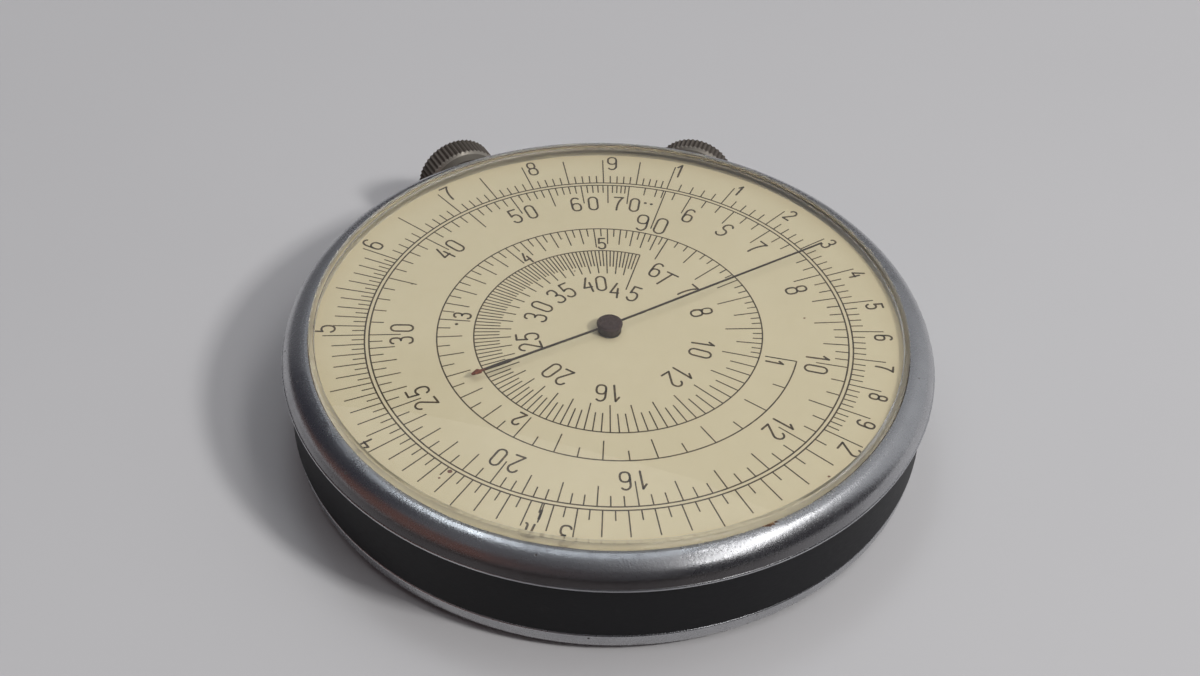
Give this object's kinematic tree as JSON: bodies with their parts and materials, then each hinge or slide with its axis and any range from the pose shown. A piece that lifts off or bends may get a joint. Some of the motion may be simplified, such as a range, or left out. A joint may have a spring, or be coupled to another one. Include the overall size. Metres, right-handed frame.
{
  "type": "circular slide rule",
  "caption": "Round two-sided pocket slide rule: printed dials under clear crystals, chromed bezels on a black ring, and geared rim knobs that turn the hands and the rear dial.",
  "frame": {"origin": "on the case axis, in the plane of the rear crystal's flat face that the rule rests on", "axes": "+Z along the case axis, out of the fixed dial; +Y midway between the two knobs"},
  "size_m": [0.0522, 0.0549, 0.0108],
  "materials": {
    "case_black": "satin black moulded ring",
    "bezel_chrome": "polished chrome plate, worn and pitted",
    "crystal": "clear moulded crystal",
    "gasket": "matt seal ring",
    "dial_cream": "cream paint, yellowed, with dark printed scales",
    "plate_brass": "satin brass",
    "wheel_brass": "cut brass",
    "hub_nickel": "turned light metal, nickel tint",
    "steel": "turned steel",
    "hand_dark": "dark lacquer with a brown tail",
    "boss_brown": "dark brown lacquer, crazed",
    "knob_nickel": "dull nickel plate, dirty in the knurls",
    "dot_red": "red enamel",
    "dot_black": "black enamel",
    "index_red": "red lacquer"
  },
  "bodies": {
    "case": {"case_ring": "case_black", "front_bezel": "bezel_chrome", "rear_bezel": "bezel_chrome", "front_crystal": "crystal", "rear_crystal": "crystal", "front_gasket": "gasket", "rear_gasket": "gasket", "fixed_dial": "dial_cream", "main_plate": "plate_brass", "bridge": "plate_brass", "hand_stem_bracket": "plate_brass", "dial_stem_bracket": "plate_brass", "plate_bush": "wheel_brass", "dial_bush": "wheel_brass", "bridge_pillars": "hub_nickel", "hand_stem_bush": "hub_nickel", "dial_stem_bush": "hub_nickel", "plate_screws": "steel", "bridge_screws": "steel", "bracket_screws": "steel", "dial_collar": "steel", "dial_spring_washer": "steel", "fixed_index": "index_red"},
    "hands": {"arbor": "steel", "hand_wheel": "wheel_brass", "front_hand": "hand_dark", "front_hand_boss": "boss_brown", "rear_hand": "hand_dark", "rear_hand_boss": "boss_brown"},
    "rear_dial": {"moving_dial": "dial_cream", "dial_wheel": "wheel_brass", "dial_hub": "hub_nickel"},
    "hand_knob": {"hand_stem": "steel", "hand_pinion": "steel", "hand_knob": "knob_nickel", "hand_knob_dot": "dot_red"},
    "dial_knob": {"dial_stem": "steel", "dial_pinion": "steel", "dial_knob": "knob_nickel", "dial_knob_dot": "dot_black"}
  },
  "joints": [
    {"name": "hands_turn", "type": "hinge", "parent": "case", "child": "hands", "pos_m": [0, 0, 0.00469], "axis": [0, 0, 1], "continuous": true},
    {"name": "dial_turn", "type": "hinge", "parent": "case", "child": "rear_dial", "pos_m": [0, 0, 0.00469], "axis": [0, 0, 1], "continuous": true},
    {"name": "hand_knob_turn", "type": "hinge", "parent": "case", "child": "hand_knob", "pos_m": [0, 0, 0.00469], "axis": [-0.3827, 0.9239, 0], "continuous": true},
    {"name": "dial_knob_turn", "type": "hinge", "parent": "case", "child": "dial_knob", "pos_m": [0, 0, 0.00469], "axis": [0.3827, 0.9239, 0], "continuous": true}
  ],
  "couplings": [
    {"joint": "hand_knob_turn", "follows": "hands_turn", "ratio": -5},
    {"joint": "dial_knob_turn", "follows": "dial_turn", "ratio": 9}
  ]
}
